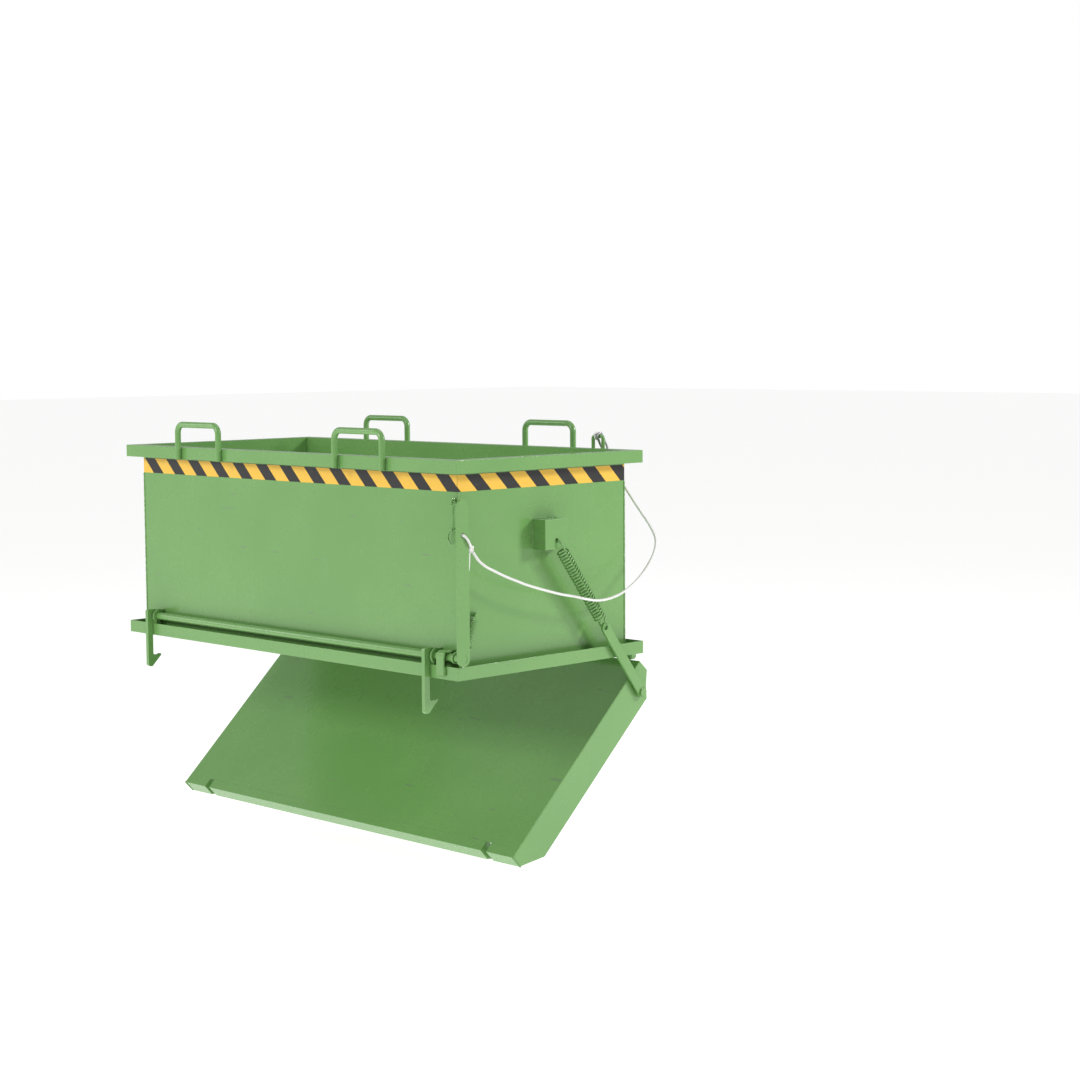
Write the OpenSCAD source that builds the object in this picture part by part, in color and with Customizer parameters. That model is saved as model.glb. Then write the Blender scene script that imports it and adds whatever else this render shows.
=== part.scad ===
// Drop-bottom container that hangs on two forks, with its hinged floor let down.
// +Z is up, -Y is the front with the lock shaft, +Y is the truck side.
// The origin is the middle of the top rim's upper plane, between the fork channels.

/* [Container] */
// Width over the side walls
body_w = 1600; // [1440:10:1940]
// Depth over the front and rear walls
body_d = 724; // [700:2:900]
// Height from the top rim to the underside of the bottom rim
body_h = 652; // [640:2:800]
// Thickness of the wall sheets
sheet_t = 3; // [2:0.5:5]
// How far both rims stand out from the walls
rim_over = 42; // [36:1:50]
// Height of the rims' outer legs
rim_h = 40; // [30:1:45]
// Thickness of the rims' angle bars
rim_t = 4; // [3:0.5:6]
// Height of the hazard tape
tape_h = 50; // [40:1:60]

/* [Fork bails] */
// Diameter of the bail rods
bail_rod = 20; // [16:1:25]
// Distance between a bail's legs, from middle to middle
bail_gap = 224; // [180:2:260]
// Height of a bail's top above the rim
bail_rise = 87; // [75:1:110]
// Distance between the two fork channels, from middle to middle
bail_spread = 822; // [700:2:900]

/* [Floor flap] */
// How far the flap hangs open, in degrees
open_angle = 43.3; // [30:0.1:60]
// Thickness of the flap's plate
flap_t = 3; // [2:0.5:5]
// Depth of the flap's front flange
flange_h = 48; // [42:1:60]
// Depth of the flap's side cheeks
cheek_h = 114; // [100:1:130]
// Diameter of the hinge pins
hinge_pin_d = 16; // [12:1:20]

/* [Lock] */
// Diameter of the lock shaft
shaft_d = 25; // [20:1:30]
// Thickness of the two hooks
hook_t = 14; // [8:1:20]
// Distance from the container's side to the middle of each hook
hook_inset = 88; // [80:1:160]
// Height of the release lever above the shaft
lever_len = 474; // [400:2:490]
// Width of the release lever
lever_w = 46; // [38:1:56]
// Thickness of the release lever
lever_t = 8; // [6:1:10]

/* [Springs and links] */
// Width of the link bars
link_w = 34; // [30:1:44]
// Length of a link bar between its holes
link_len = 280; // [260:1:300]
// Outer diameter of the main springs
spring_od = 40; // [34:1:44]
// Wire of the main springs
spring_wire = 6; // [4:0.5:7]
// Turns in each main spring
spring_turns = 25; // [15:1:30]

/* [Hidden] */
$fn = 48;
paint = [0.50, 0.70, 0.43];
steel = [0.62, 0.63, 0.65];
white = [0.93, 0.93, 0.92];
yellow = [0.95, 0.74, 0.12];
run_gap = 0.05;              // radial clearance of a pin that turns in its hole
gap = 0.4;                   // side clearance between moving plates
half_w = body_w / 2;
half_d = body_d / 2;
rim_x = half_w + rim_over;   // outer faces of the rims
rim_y = half_d + rim_over;
tape_t = 0.4;
tape_drop = 6;               // from the rim's lower edge to the tape

// bails
bail_x = [-bail_spread / 2, bail_spread / 2];
bail_bend = 28;
bail_r = bail_rod / 2;

// hinge line and flap
hinge_y = half_d + 54;
hinge_z = -body_h - 15;
hinge_r = hinge_pin_d / 2;
hinge_eye = hinge_r + 5;
hinge_pitch = (body_w - 60) / 3;
hinge_x = [for (i = [-1.5, -0.5, 0.5, 1.5]) i * hinge_pitch];
ear_t = 12;
lug_t = 8;
pin_rim = 3;                 // how far a pin's head stands out round it
pin_head_t = 5;
plate_top = -body_h - 2;
plate_low = plate_top - flap_t;
flap_front = -rim_y + 3;
flap_rear = half_d + 27;
flange_low = plate_top - flange_h;
cheek_low = plate_top - cheek_h;
lip_w = 35;                  // depth of the front angle's flat leg

// lock shaft, with its hooks reaching under the flap
shaft_y = -half_d - 25;
shaft_z = -body_h + 65;
shaft_r = shaft_d / 2;
shaft_x0 = -half_w + 60;
shaft_x1 = half_w + 50;
hook_x = [-half_w + hook_inset, half_w - hook_inset];
hook_head = 22;
hook_gap = hook_t + 10;      // gaps in the flap's front angle that the hooks pass through
arm_back = -rim_y - 2;
arm_front = arm_back - 20;
nose_y = arm_back + 32;
catch_low = flange_low - 17;
catch_h = 10;
catch_front = nose_y - 8;
catch_rear = catch_front + 12;
catch_plate_t = 6;
pocket_z = catch_low - 3.5;
lip_z = catch_low - 0.8;
hook_low = pocket_z - 38;
bearing_t = 8;
bearing_r = shaft_r + 11;
bearing_x = [hook_x[0] + hook_t / 2 + 4, hook_x[1] + hook_t / 2 + 4];
keeper_x = half_w - 45;
keeper_w = 33;
keeper_t = 6;
keeper_over = 8;             // from the shaft to the strap's top
keeper_stand = 3;            // from the rim to the strap
keeper_drop = 12;            // from the rim's underside to the strap's end
lever_x = half_w + 43;
rope_hole_y = shaft_y - 2;
rope_hole_z = shaft_z + 0.776 * lever_len;
rope_hole_r = 7;

// return spring of the lock
peg_y = shaft_y + 85;
peg_z = shaft_z + 121;
peg_r = 6;
peg_len = 16;
peg_head_r = peg_r + 2.5;
arm_x = half_w + 9;
arm_t = 8;
arm_eye_y = shaft_y + 54;
arm_eye_z = shaft_z + 25;
arm_hub_w = shaft_d + 9;
arm_eye_w = 22;
arm_hole_r = 4.5;
return_x = arm_x + arm_t / 2;
return_ring = peg_r + 1.8;   // round the peg
return_wire = 1.2;
return_coil = 10.5;
return_turns = 11;

// safety pin, its lug beside the lever and the ring it is pulled by
pin_x = half_w - 6;
pin_y = -half_d - 12;
pin_z = -122;
pin_low = -84;
pull_ring_r = 23;
ring_rest = 0.2;             // how deep the ring lies in the pin's lower eye
pin_eye_r = 8;
pin_low_eye_r = 6;
pin_rod_r = 4;
pin_hole_r = 3.5;
pin_lug_t = 5;
pin_lug_w = 16;
eye_wire = 2.5;

// main springs and link bars
spring_x = half_w + 53;
bracket_w = 100;
bracket_t = 4;
bracket_top = -195;
bracket_room = 6.5;          // from the lowest coil beside it to its lower edge
bracket_x = spring_x + bracket_t / 2;
anchor_z = bracket_top - 66;
anchor_r = 7;
link_t = 8;
link_pin_r = 10;
spacer_wall = 5;
link_hole_r = 7;
link_pin_closed = [flap_rear - 70, plate_top - 70];
link_pin_arm = link_pin_closed - [hinge_y, hinge_z];
link_pin = [hinge_y + link_pin_arm[0] * cos(open_angle) - link_pin_arm[1] * sin(open_angle),
            hinge_z + link_pin_arm[0] * sin(open_angle) + link_pin_arm[1] * cos(open_angle)];
pull_vec = link_pin - [0, anchor_z];
pull_len = norm(pull_vec);
pull_dir = pull_vec / pull_len;
pull_angle = atan2(pull_dir[1], pull_dir[0]);
link_top = link_pin - pull_dir * link_len;
bracket_low = anchor_z + (bracket_w / 2 * pull_dir[1] + spring_od / 2) / pull_dir[0] + bracket_room;

// eye for the safety chain
eye_x = half_w - 159;
eye_rod = 12;
eye_gap = 44;
eye_bend = 9;
eye_top = 45;
eye_y = rim_y + eye_rod / 2;
eye_mid = eye_top - eye_rod / 2;
chain_x = eye_x + 7.3;
chain_wire = 5;
chain_inner = 20;
chain_inner_w = 9;
chain_pitch = chain_inner - 1;
chain_links = 20;
ring_inner = 60;
ring_inner_w = 16;
ring_wire = 7;
gate_len = 28;               // sleeve of the snap hook's gate
gate_r = 5;
ring_tilt = 31;
ring_mid = eye_rod / 2 + 0.5 - ring_inner / 2;    // below the eye's rod, along the tilt
ring_low = ring_mid - ring_inner / 2 - ring_wire / 2;
link_rise = ring_wire / 2 + chain_wire / 2 + 0.4; // from the ring's wire to the first link's
chain_y = eye_y - (ring_low + link_rise) * sin(ring_tilt);
chain_top = eye_mid + (ring_low + link_rise) * cos(ring_tilt) - (chain_inner + chain_wire) / 2;

// pull rope, from the knot on the lever, down along the side and up to the chain's eye
rope_r = 4;
knot = [847, -352.5, -262];
knot_r = 11;
hitch_x = eye_x - 8.9;
rope_points = [
    [850, -347, -272], [853, -340.5, -284], [858, -327, -302], [864, -305, -319],
    [867, -276, -333], [872, -240, -350], [876, -200, -366], [880, -155, -383],
    [883, -110, -397], [885, -60, -411], [886, -10, -424], [887, 40, -434],
    [888, 90, -446], [888, 140, -455], [888, 190, -455], [888, 240, -446],
    [888, 290, -427], [886, 340, -398], [882, 385, -362], [872, 425, -324],
    [850, 455, -286], [815, 466, -246], [775, 465, -202], [735, 462, -155],
    [697, 461, -109], [664, 459, -66], [640, 454, -31], [628, 443, -3], [628, 429, 18], [632.1, 420.1, 30]];
rope_sides = 8;

// ---- helpers ----

// a flat outline given as [y, z] points, made x_len thick from x0
module side_plate(x0, x_len, outline) {
    translate([x0, 0, 0]) rotate([90, 0, 90]) linear_extrude(x_len) polygon(outline);
}

// a round bar along X through [y, z]
module x_rod(x0, x_len, at, r) {
    translate([x0, at[0], at[1]]) rotate([0, 90, 0]) cylinder(h = x_len, r = r);
}

// points of an arc about c, from one angle to another
function arc(c, r, from, to, n = 16) = [for (i = [0 : n])
    let (a = from + (to - from) * i / n) c + r * [cos(a), sin(a)]];

// a flat bar with round ends of two widths between two [y, z] points, seen from the side
module round_bar(x0, t, from, to, from_w, to_w) {
    way = to - from;
    dir = atan2(way[1], way[0]);
    lean = asin((from_w - to_w) / 2 / norm(way));
    side_plate(x0, t, concat(arc(to, to_w / 2, dir - 90 + lean, dir + 90 - lean),
                             arc(from, from_w / 2, dir + 90 - lean, dir + 270 + lean)));
}

// turns the flap's pieces, drawn shut, about the hinge to where they hang
module let_down() {
    translate([0, hinge_y, hinge_z]) rotate([open_angle, 0, 0])
        translate([0, -hinge_y, -hinge_z]) children();
}

module mirror_left(side) {
    mirror([side < 0 ? 1 : 0, 0, 0]) children();
}

// an angle bar along X, mitred at both ends; the outer leg faces -Y and the flat leg is up
module rim_bar(half_len, out) {
    difference() {
        translate([-half_len, 0, 0]) rotate([90, 0, 90]) linear_extrude(2 * half_len)
            polygon([[-out, 0], [-out + rim_over, 0], [-out + rim_over, -rim_t],
                     [-out + rim_t, -rim_t], [-out + rim_t, -rim_h], [-out, -rim_h]]);
        for (s = [-1, 1]) mirror_left(s) translate([half_len, -out, -rim_h - 1])
            rotate([0, 0, 45]) cube([3 * rim_over, 3 * rim_over, rim_h + 2]);
    }
}

module top_bar(turn, half_len, out) {
    color(paint) rotate([0, 0, turn]) rim_bar(half_len, out);
}

module bottom_bar(turn, half_len, out) {
    color(paint) translate([0, 0, -body_h]) mirror([0, 0, 1]) rotate([0, 0, turn]) rim_bar(half_len, out);
}

// a rod bent to an upside-down U in the XZ plane
module rod_bow(width, low, top, r, bend) {
    corner = width / 2 - bend;
    for (s = [-1, 1]) {
        translate([s * width / 2, 0, low]) cylinder(h = top - bend - low, r = r);
        translate([s * corner, 0, top - bend]) rotate([90, 0, 0]) mirror_left(s)
            rotate_extrude(angle = 90) translate([bend, 0]) circle(r);
    }
    translate([-corner, 0, top]) rotate([0, 90, 0]) cylinder(h = 2 * corner, r = r);
}

// a closed link with its long side along Z, lying in the XZ plane
module oval_link(inner_len, inner_w, wire) {
    r = wire / 2;
    reach = inner_w / 2 + r;
    side = inner_len - inner_w;
    for (s = [-1, 1]) {
        translate([s * reach, 0, -side / 2]) cylinder(h = side, r = r);
        translate([0, 0, s * side / 2]) rotate([90, 0, 0]) rotate([0, 0, s > 0 ? 0 : 180])
            rotate_extrude(angle = 180) translate([reach, 0]) circle(r);
    }
}

function unit(v) = v / norm(v);

// directions along a row of points
function headings(p) = [for (i = [0 : len(p) - 1])
    unit(p[min(i + 1, len(p) - 1)] - p[max(i - 1, 0)])];

// first sideways direction of a tube, then the same carried along without twist
function across(t) = unit(cross(t, abs(t[2]) < 0.9 ? [0, 0, 1] : [0, 1, 0]));
function carried(t) = [for (i = 0, n = across(t[0]); i < len(t);
    i = i + 1, n = i < len(t) ? unit(n - (n * t[i]) * t[i]) : n) n];

// a tube with closed ends along a row of points
module tube(points, r, sides) {
    t = headings(points);
    n = carried(t);
    count = len(points);
    rings = [for (i = [0 : count - 1]) for (k = [0 : sides - 1])
        let (a = 360 * k / sides) points[i] + r * (cos(a) * n[i] + sin(a) * cross(t[i], n[i]))];
    skin = [for (i = [0 : count - 2]) for (k = [0 : sides - 1]) let (m = (k + 1) % sides)
        [i * sides + k, (i + 1) * sides + k, (i + 1) * sides + m, i * sides + m]];
    ends = [[for (k = [0 : sides - 1]) k],
            [for (k = [sides - 1 : -1 : 0]) (count - 1) * sides + k]];
    polyhedron(rings, concat(skin, ends), convexity = 10);
}

// points of a smooth curve through a row of points
function spline(p, per) = concat([for (i = [0 : len(p) - 2]) for (j = [0 : per - 1])
    let (u = j / per, a = p[max(i - 1, 0)], b = p[i], c = p[i + 1], d = p[min(i + 2, len(p) - 1)])
    0.5 * (2 * b + (c - a) * u + (2 * a - 5 * b + 4 * c - d) * u * u
           + (3 * b - a - 3 * c + d) * u * u * u)], [p[len(p) - 1]]);

// wire of a tension spring, lying along +Y from the middle of its first hook ring to
// the middle of its last: a ring in the XY plane at each end and the coil between
function hook_ring(at, r, from, to, n) = [for (i = [0 : n])
    let (a = from + (to - from) * i / n) [r * cos(a), at + r * sin(a), 0]];
function spring_wire_path(len, r, turns, per) = concat(
    hook_ring(0, r, -230, 60, 16),
    [for (i = [0 : turns * per]) let (a = -360 * i / per)
        [r * cos(a), r * 1.35 + (len - 2.7 * r) * i / (turns * per), r * sin(a)]],
    hook_ring(len, r, -60, 230, 16));

// ---- container ----

module front_wall() {
    color(paint) translate([-half_w, -half_d, -body_h]) cube([body_w, sheet_t, body_h]);
}

module rear_wall() {
    color(paint) translate([-half_w, half_d - sheet_t, -body_h]) cube([body_w, sheet_t, body_h]);
}

module end_wall(side) {
    color(paint) mirror_left(side) translate([half_w - sheet_t, -half_d + sheet_t, -body_h])
        cube([sheet_t, body_d - 2 * sheet_t, body_h]);
}

module left_wall() { end_wall(-1); }
module right_wall() { end_wall(1); }
module top_rim_front() { top_bar(0, rim_x, rim_y); }
module top_rim_rear() { top_bar(180, rim_x, rim_y); }
module top_rim_left() { top_bar(-90, rim_y, rim_x); }
module top_rim_right() { top_bar(90, rim_y, rim_x); }
module bottom_rim_front() { bottom_bar(0, rim_x, rim_y); }
module bottom_rim_rear() { bottom_bar(180, rim_x, rim_y); }
module bottom_rim_left() { bottom_bar(-90, rim_y, rim_x); }
module bottom_rim_right() { bottom_bar(90, rim_y, rim_x); }

// a fork bail on the rim's outer face: front is -1 or 1, across is 0 for left and 1 for right
module bail(front, across) {
    color(paint) translate([bail_x[across], front * (rim_y + bail_r), 0])
        rod_bow(bail_gap, -rim_h, bail_rise - bail_r, bail_r, bail_bend);
}

module bail_front_left() { bail(-1, 0); }
module bail_front_right() { bail(-1, 1); }
module bail_rear_left() { bail(1, 0); }
module bail_rear_right() { bail(1, 1); }

module hazard_tape() {
    low = -rim_h - tape_drop - tape_h;
    color(yellow) {
        for (y = [-half_d - tape_t, half_d]) translate([-half_w, y, low]) cube([body_w, tape_t, tape_h]);
        for (x = [-half_w - tape_t, half_w]) translate([x, -half_d, low]) cube([tape_t, body_d, tape_h]);
    }
}

// a folded cover plate that holds the top hook of a main spring, open below
module spring_bracket(side) {
    out = bracket_x - half_w;
    high = bracket_top - bracket_low;
    color(paint) mirror_left(side) difference() {
        translate([half_w, -bracket_w / 2, bracket_low]) cube([out, bracket_w, high]);
        translate([half_w - 1, -bracket_w / 2 + bracket_t, bracket_low - 1])
            cube([out - bracket_t + 1, bracket_w - 2 * bracket_t, high - bracket_t + 1]);
        x_rod(bracket_x - 2 * bracket_t, 3 * bracket_t, [0, anchor_z], anchor_r);
    }
}

module spring_bracket_left() { spring_bracket(-1); }
module spring_bracket_right() { spring_bracket(1); }

// an upright plate in the bottom rim that carries the lock shaft
module bearing(x0) {
    color(paint) difference() {
        union() {
            side_plate(x0, bearing_t, [[-half_d, -body_h + rim_t], [-rim_y + rim_t, -body_h + rim_t],
                [-rim_y + rim_t, -body_h + rim_h + 2], [shaft_y - bearing_r + 2, shaft_z - 6],
                [shaft_y, shaft_z + bearing_r - 2], [-half_d, shaft_z + bearing_r - 2]]);
            x_rod(x0, bearing_t, [shaft_y, shaft_z], bearing_r);
        }
        x_rod(x0 - 1, bearing_t + 2, [shaft_y, shaft_z], shaft_r + run_gap);
        translate([x0 - 1, -half_d, -body_h]) cube([bearing_t + 2, 60, body_h]);
    }
}

module bearing_left() { bearing(bearing_x[0]); }
module bearing_right() { bearing(bearing_x[1]); }

// a bent strap that passes over the shaft and down in front of the rim
module shaft_keeper() {
    top = shaft_z + shaft_r + keeper_over;
    front = -rim_y - keeper_stand - keeper_t;
    low = -body_h + keeper_drop;
    bend = 1.5 * keeper_t;
    color(paint) side_plate(keeper_x, keeper_w, concat([[-half_d, top], [-half_d, top - keeper_t]],
        arc([front + keeper_t + bend, top - keeper_t - bend], bend, 90, 180),
        [[front + keeper_t, low], [front, low]],
        arc([front + keeper_t + bend, top - keeper_t - bend], bend + keeper_t, 180, 90)));
    color(paint) translate([keeper_x, -rim_y - keeper_stand, low])
        cube([keeper_w, keeper_stand, rim_h - keeper_drop]);
}

// pairs of plates under the rear rim that hold the hinge pins
module hinge_lugs() {
    color(paint) for (x = hinge_x) for (s = [-1, 1]) {
        x0 = s > 0 ? x + ear_t / 2 + gap : x - ear_t / 2 - gap - lug_t;
        difference() {
            union() {
                side_plate(x0, lug_t, [[rim_y, -body_h + rim_h - 4], [rim_y, -body_h - 3],
                    [hinge_y - hinge_eye + 2, hinge_z + 2], [hinge_y + hinge_eye - 2, hinge_z + 4],
                    [hinge_y + 8, -body_h + rim_h - 4]]);
                x_rod(x0, lug_t, [hinge_y, hinge_z], hinge_eye);
            }
            x_rod(x0 - 1, lug_t + 2, [hinge_y, hinge_z], hinge_r + run_gap);
        }
    }
}

module hinge_pins() {
    reach = ear_t / 2 + gap + lug_t + pin_rim;
    color(paint) for (x = hinge_x) {
        x_rod(x - reach - pin_head_t / 2, 2 * reach + pin_head_t, [hinge_y, hinge_z], hinge_r);
        for (s = [-1, 1]) x_rod(x + s * reach - pin_head_t / 2, pin_head_t, [hinge_y, hinge_z], hinge_r + pin_rim);
    }
}

// peg with a wide head that keeps the return spring's hook on it
module spring_peg() {
    color(paint) {
        x_rod(half_w, peg_len, [peg_y, peg_z], peg_r);
        x_rod(half_w + peg_len, 3, [peg_y, peg_z], peg_head_r);
    }
}

module chain_eye() {
    color(paint) translate([eye_x, eye_y, 0]) rod_bow(eye_gap, -rim_h + 4, eye_mid, eye_rod / 2, eye_bend);
}

// the long link through the eye, leaning out over the rim
module chain_ring() {
    color(steel) translate([chain_x, eye_y, eye_mid]) rotate([ring_tilt, 0, 0])
        translate([0, 0, ring_mid]) rotate([0, 0, 90]) oval_link(ring_inner, ring_inner_w, ring_wire);
}

module safety_chain() {
    color(steel) for (i = [0 : chain_links - 1])
        translate([chain_x, chain_y, chain_top - i * chain_pitch])
        rotate([0, 0, i % 2 == 0 ? 0 : 90]) oval_link(chain_inner, chain_inner_w, chain_wire);
}

// spring-gate hook at the chain's free end
module snap_hook() {
    side = (ring_inner_w + ring_wire) / 2;
    low = chain_top - chain_links * chain_pitch - (ring_inner - chain_inner) / 2;
    color(steel) translate([chain_x, chain_y, low]) {
        oval_link(ring_inner, ring_inner_w, ring_wire);
        translate([side, 0, -gate_len / 2]) cylinder(h = gate_len, r = gate_r);
    }
}

// ---- safety pin on a lug beside the lever ----

module eye_ring(r) {
    rotate_extrude() translate([r, 0]) circle(r = eye_wire, $fn = 24);
}

module pin_lug() {
    color(paint) difference() {
        translate([pin_x - pin_lug_t / 2, pin_y - pin_lug_w / 2, pin_z - pin_lug_w / 2])
            cube([pin_lug_t, pin_lug_w / 2 - half_d - pin_y, pin_lug_w]);
        x_rod(pin_x - pin_lug_t, 2 * pin_lug_t, [pin_y, pin_z], pin_hole_r);
    }
}

// rod with an eye at each end; the upper eye runs through the lug's hole
module safety_pin() {
    high = -2 * pin_eye_r;
    color(paint) translate([pin_x, pin_y, pin_z]) {
        translate([0, 0, -pin_eye_r]) rotate([90, 0, 0]) eye_ring(pin_eye_r);
        translate([0, 0, pin_low + pin_low_eye_r]) cylinder(h = high - pin_low - pin_low_eye_r, r = pin_rod_r);
        translate([0, 0, pin_low]) rotate([0, 90, 0]) eye_ring(pin_low_eye_r);
    }
}

module safety_pin_ring() {
    rest = pin_low_eye_r - 2 * eye_wire - ring_rest;
    color(paint) translate([pin_x, pin_y, pin_z + pin_low - rest - pull_ring_r]) rotate([90, 0, 0])
        eye_ring(pull_ring_r);
}

// ---- flap ----

module flap_plate() {
    front = flap_front + lip_w;
    color(paint) let_down() translate([-rim_x, front, plate_low])
        cube([2 * rim_x, flap_rear - front, flap_t]);
}

// folded front angle in three lengths, with a gap for each hook
module flap_flange() {
    ends = [-rim_x, hook_x[0] - hook_gap / 2, hook_x[0] + hook_gap / 2,
            hook_x[1] - hook_gap / 2, hook_x[1] + hook_gap / 2, rim_x];
    color(paint) let_down() for (i = [0, 2, 4])
        side_plate(ends[i], ends[i + 1] - ends[i], [[flap_front, plate_top], [flap_front, flange_low],
            [flap_front + flap_t, flange_low], [flap_front + flap_t, plate_low],
            [flap_front + lip_w, plate_low], [flap_front + lip_w, plate_top]]);
}

module cheek(side) {
    front = flap_front + flap_t;
    color(paint) let_down() mirror_left(side) side_plate(rim_x - flap_t, flap_t,
        [[front, plate_low], [front, flange_low], [flap_front + 87, cheek_low + 4],
         [flap_rear - 62, cheek_low], [flap_rear - 35, plate_top - 81],
         [flap_rear + 3, plate_top - 47], [flap_rear, plate_low]]);
}

module flap_cheek_left() { cheek(-1); }
module flap_cheek_right() { cheek(1); }

// stiffening bars under the plate
module flap_ribs() {
    front = flap_front + flap_t + 14;
    color(paint) let_down() for (i = [-1.5 : 1 : 1.5])
        side_plate(i * 2 * rim_x / 5 - 3, 6, [[front, plate_low], [front, plate_low - 36],
            [flap_front + 120, plate_low - 60], [flap_rear - 60, plate_low - 60],
            [flap_rear - 8, plate_low - 20], [flap_rear - 8, plate_low]]);
}

module flap_hinge_ears() {
    color(paint) let_down() for (x = hinge_x) difference() {
        union() {
            side_plate(x - ear_t / 2, ear_t, [[flap_rear - 60, plate_low], [flap_rear, plate_low],
                [hinge_y, hinge_z + hinge_eye - 3], [hinge_y + 3, hinge_z - hinge_eye + 2],
                [flap_rear - 20, plate_low - 26], [flap_rear - 60, plate_low - 12]]);
            x_rod(x - ear_t / 2, ear_t, [hinge_y, hinge_z], hinge_eye);
        }
        x_rod(x - ear_t, 2 * ear_t, [hinge_y, hinge_z], hinge_r + run_gap);
    }
}

// two plates beside each gap, and the bar between them that a hook holds
module catch_plates() {
    front = flap_front + flap_t;
    color(paint) let_down() for (x = hook_x) for (s = [-1, 1])
        side_plate(s > 0 ? x + hook_gap / 2 : x - hook_gap / 2 - catch_plate_t, catch_plate_t,
            [[front, plate_low], [front, flange_low], [catch_front - 4, catch_low],
             [catch_rear, catch_low], [catch_rear + 16, plate_low]]);
}

module flap_catches() {
    color(paint) let_down() for (x = hook_x)
        translate([x - hook_gap / 2, catch_front, catch_low]) cube([hook_gap, catch_rear - catch_front, catch_h]);
}

module link_pins() {
    outer = spring_x + link_t / 2 + gap;
    color(paint) let_down() for (s = [-1, 1]) mirror_left(s) {
        x_rod(rim_x, outer - rim_x, link_pin_closed, link_pin_r);
        x_rod(outer, pin_head_t, link_pin_closed, link_pin_r + pin_rim);
    }
}

module link_spacers() {
    long = spring_x - link_t / 2 - gap - rim_x;
    color(paint) let_down() for (s = [-1, 1]) mirror_left(s) difference() {
        x_rod(rim_x, long, link_pin_closed, link_pin_r + spacer_wall);
        x_rod(rim_x - 1, long + 2, link_pin_closed, link_pin_r);
    }
}

// ---- lock ----

module lock_shaft() {
    color(paint) x_rod(shaft_x0, shaft_x1 - shaft_x0, [shaft_y, shaft_z], shaft_r);
}

module lock_hook(at_x) {
    x0 = at_x - hook_t / 2;
    color(paint) difference() {
        union() {
            side_plate(x0, hook_t, [[arm_front, shaft_z + 18], [arm_front, hook_low + 6],
                [arm_front + 6, hook_low], [arm_back - 4, hook_low], [nose_y, lip_z - 5],
                [nose_y, lip_z], [nose_y - 4, lip_z], [nose_y - 9, pocket_z],
                [arm_back + 5, pocket_z], [arm_back, pocket_z + 5],
                [arm_back, shaft_z - hook_head], [shaft_y - 12, shaft_z - hook_head + 3],
                [shaft_y, shaft_z], [shaft_y, shaft_z + hook_head], [arm_front + 8, shaft_z + hook_head + 2],
                [arm_front + 2, shaft_z + hook_head]]);
            x_rod(x0, hook_t, [shaft_y, shaft_z], hook_head);
        }
        x_rod(x0 - 1, hook_t + 2, [shaft_y, shaft_z], shaft_r);
    }
}

module lock_hook_left() { lock_hook(hook_x[0]); }
module lock_hook_right() { lock_hook(hook_x[1]); }

module release_lever() {
    color(paint) difference() {
        round_bar(lever_x, lever_t, [shaft_y, shaft_z], [shaft_y, shaft_z + lever_len - lever_w / 2],
            lever_w, lever_w);
        x_rod(lever_x - 1, lever_t + 2, [shaft_y, shaft_z], shaft_r);
        x_rod(lever_x - 1, lever_t + 2, [rope_hole_y, rope_hole_z], rope_hole_r);
    }
}

// short arm on the shaft that the return spring pulls up
module spring_arm() {
    color(paint) difference() {
        round_bar(arm_x, arm_t, [shaft_y, shaft_z], [arm_eye_y, arm_eye_z], arm_hub_w, arm_eye_w);
        x_rod(arm_x - 1, arm_t + 2, [shaft_y, shaft_z], shaft_r);
        x_rod(arm_x - 1, arm_t + 2, [arm_eye_y, arm_eye_z], arm_hole_r);
    }
}

// ---- links and springs ----

module link_bar(side) {
    color(paint) mirror_left(side) difference() {
        round_bar(spring_x - link_t / 2, link_t, link_top, link_pin, link_w, link_w);
        x_rod(spring_x - link_t, 2 * link_t, link_pin, link_pin_r + run_gap);
        x_rod(spring_x - link_t, 2 * link_t, link_top, link_hole_r);
    }
}

module link_bar_left() { link_bar(-1); }
module link_bar_right() { link_bar(1); }

module main_spring(side) {
    wire_r = spring_wire / 2;
    coil_r = spring_od / 2 - wire_r;
    first = coil_r + anchor_r / 3;
    last = pull_len - link_len - coil_r + link_hole_r / 2;
    color(paint) mirror_left(side) translate([spring_x, 0, anchor_z]) rotate([pull_angle, 0, 0])
        translate([0, first, 0]) tube(spring_wire_path(last - first, coil_r, spring_turns, 8), wire_r, 6);
}

module main_spring_left() { main_spring(-1); }
module main_spring_right() { main_spring(1); }

// its first ring lies round the peg, its last one passes through the arm's hole
module return_spring() {
    way = [arm_eye_y, arm_eye_z] - [peg_y, peg_z];
    r = return_coil;
    last = norm(way) - r + return_wire;
    start = 1.35 * r;
    coil = last - 2 * start;
    per = 8;
    count = return_turns * per;
    color(paint) translate([return_x, peg_y, peg_z]) rotate([atan2(way[1], way[0]), 0, 0])
        tube(concat([for (a = [60 : 20 : 300]) return_ring * [0, cos(a), sin(a)]],
                    [for (i = [0 : count]) let (a = -90 - 360 * i / per)
                        [r * cos(a), start + coil * i / count, r * sin(a)]],
                    hook_ring(last, r, -60, 230, 16)), return_wire, 5);
}

// ---- rope ----

module rope_knot() {
    color(white) translate(knot) sphere(knot_r);
}

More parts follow.
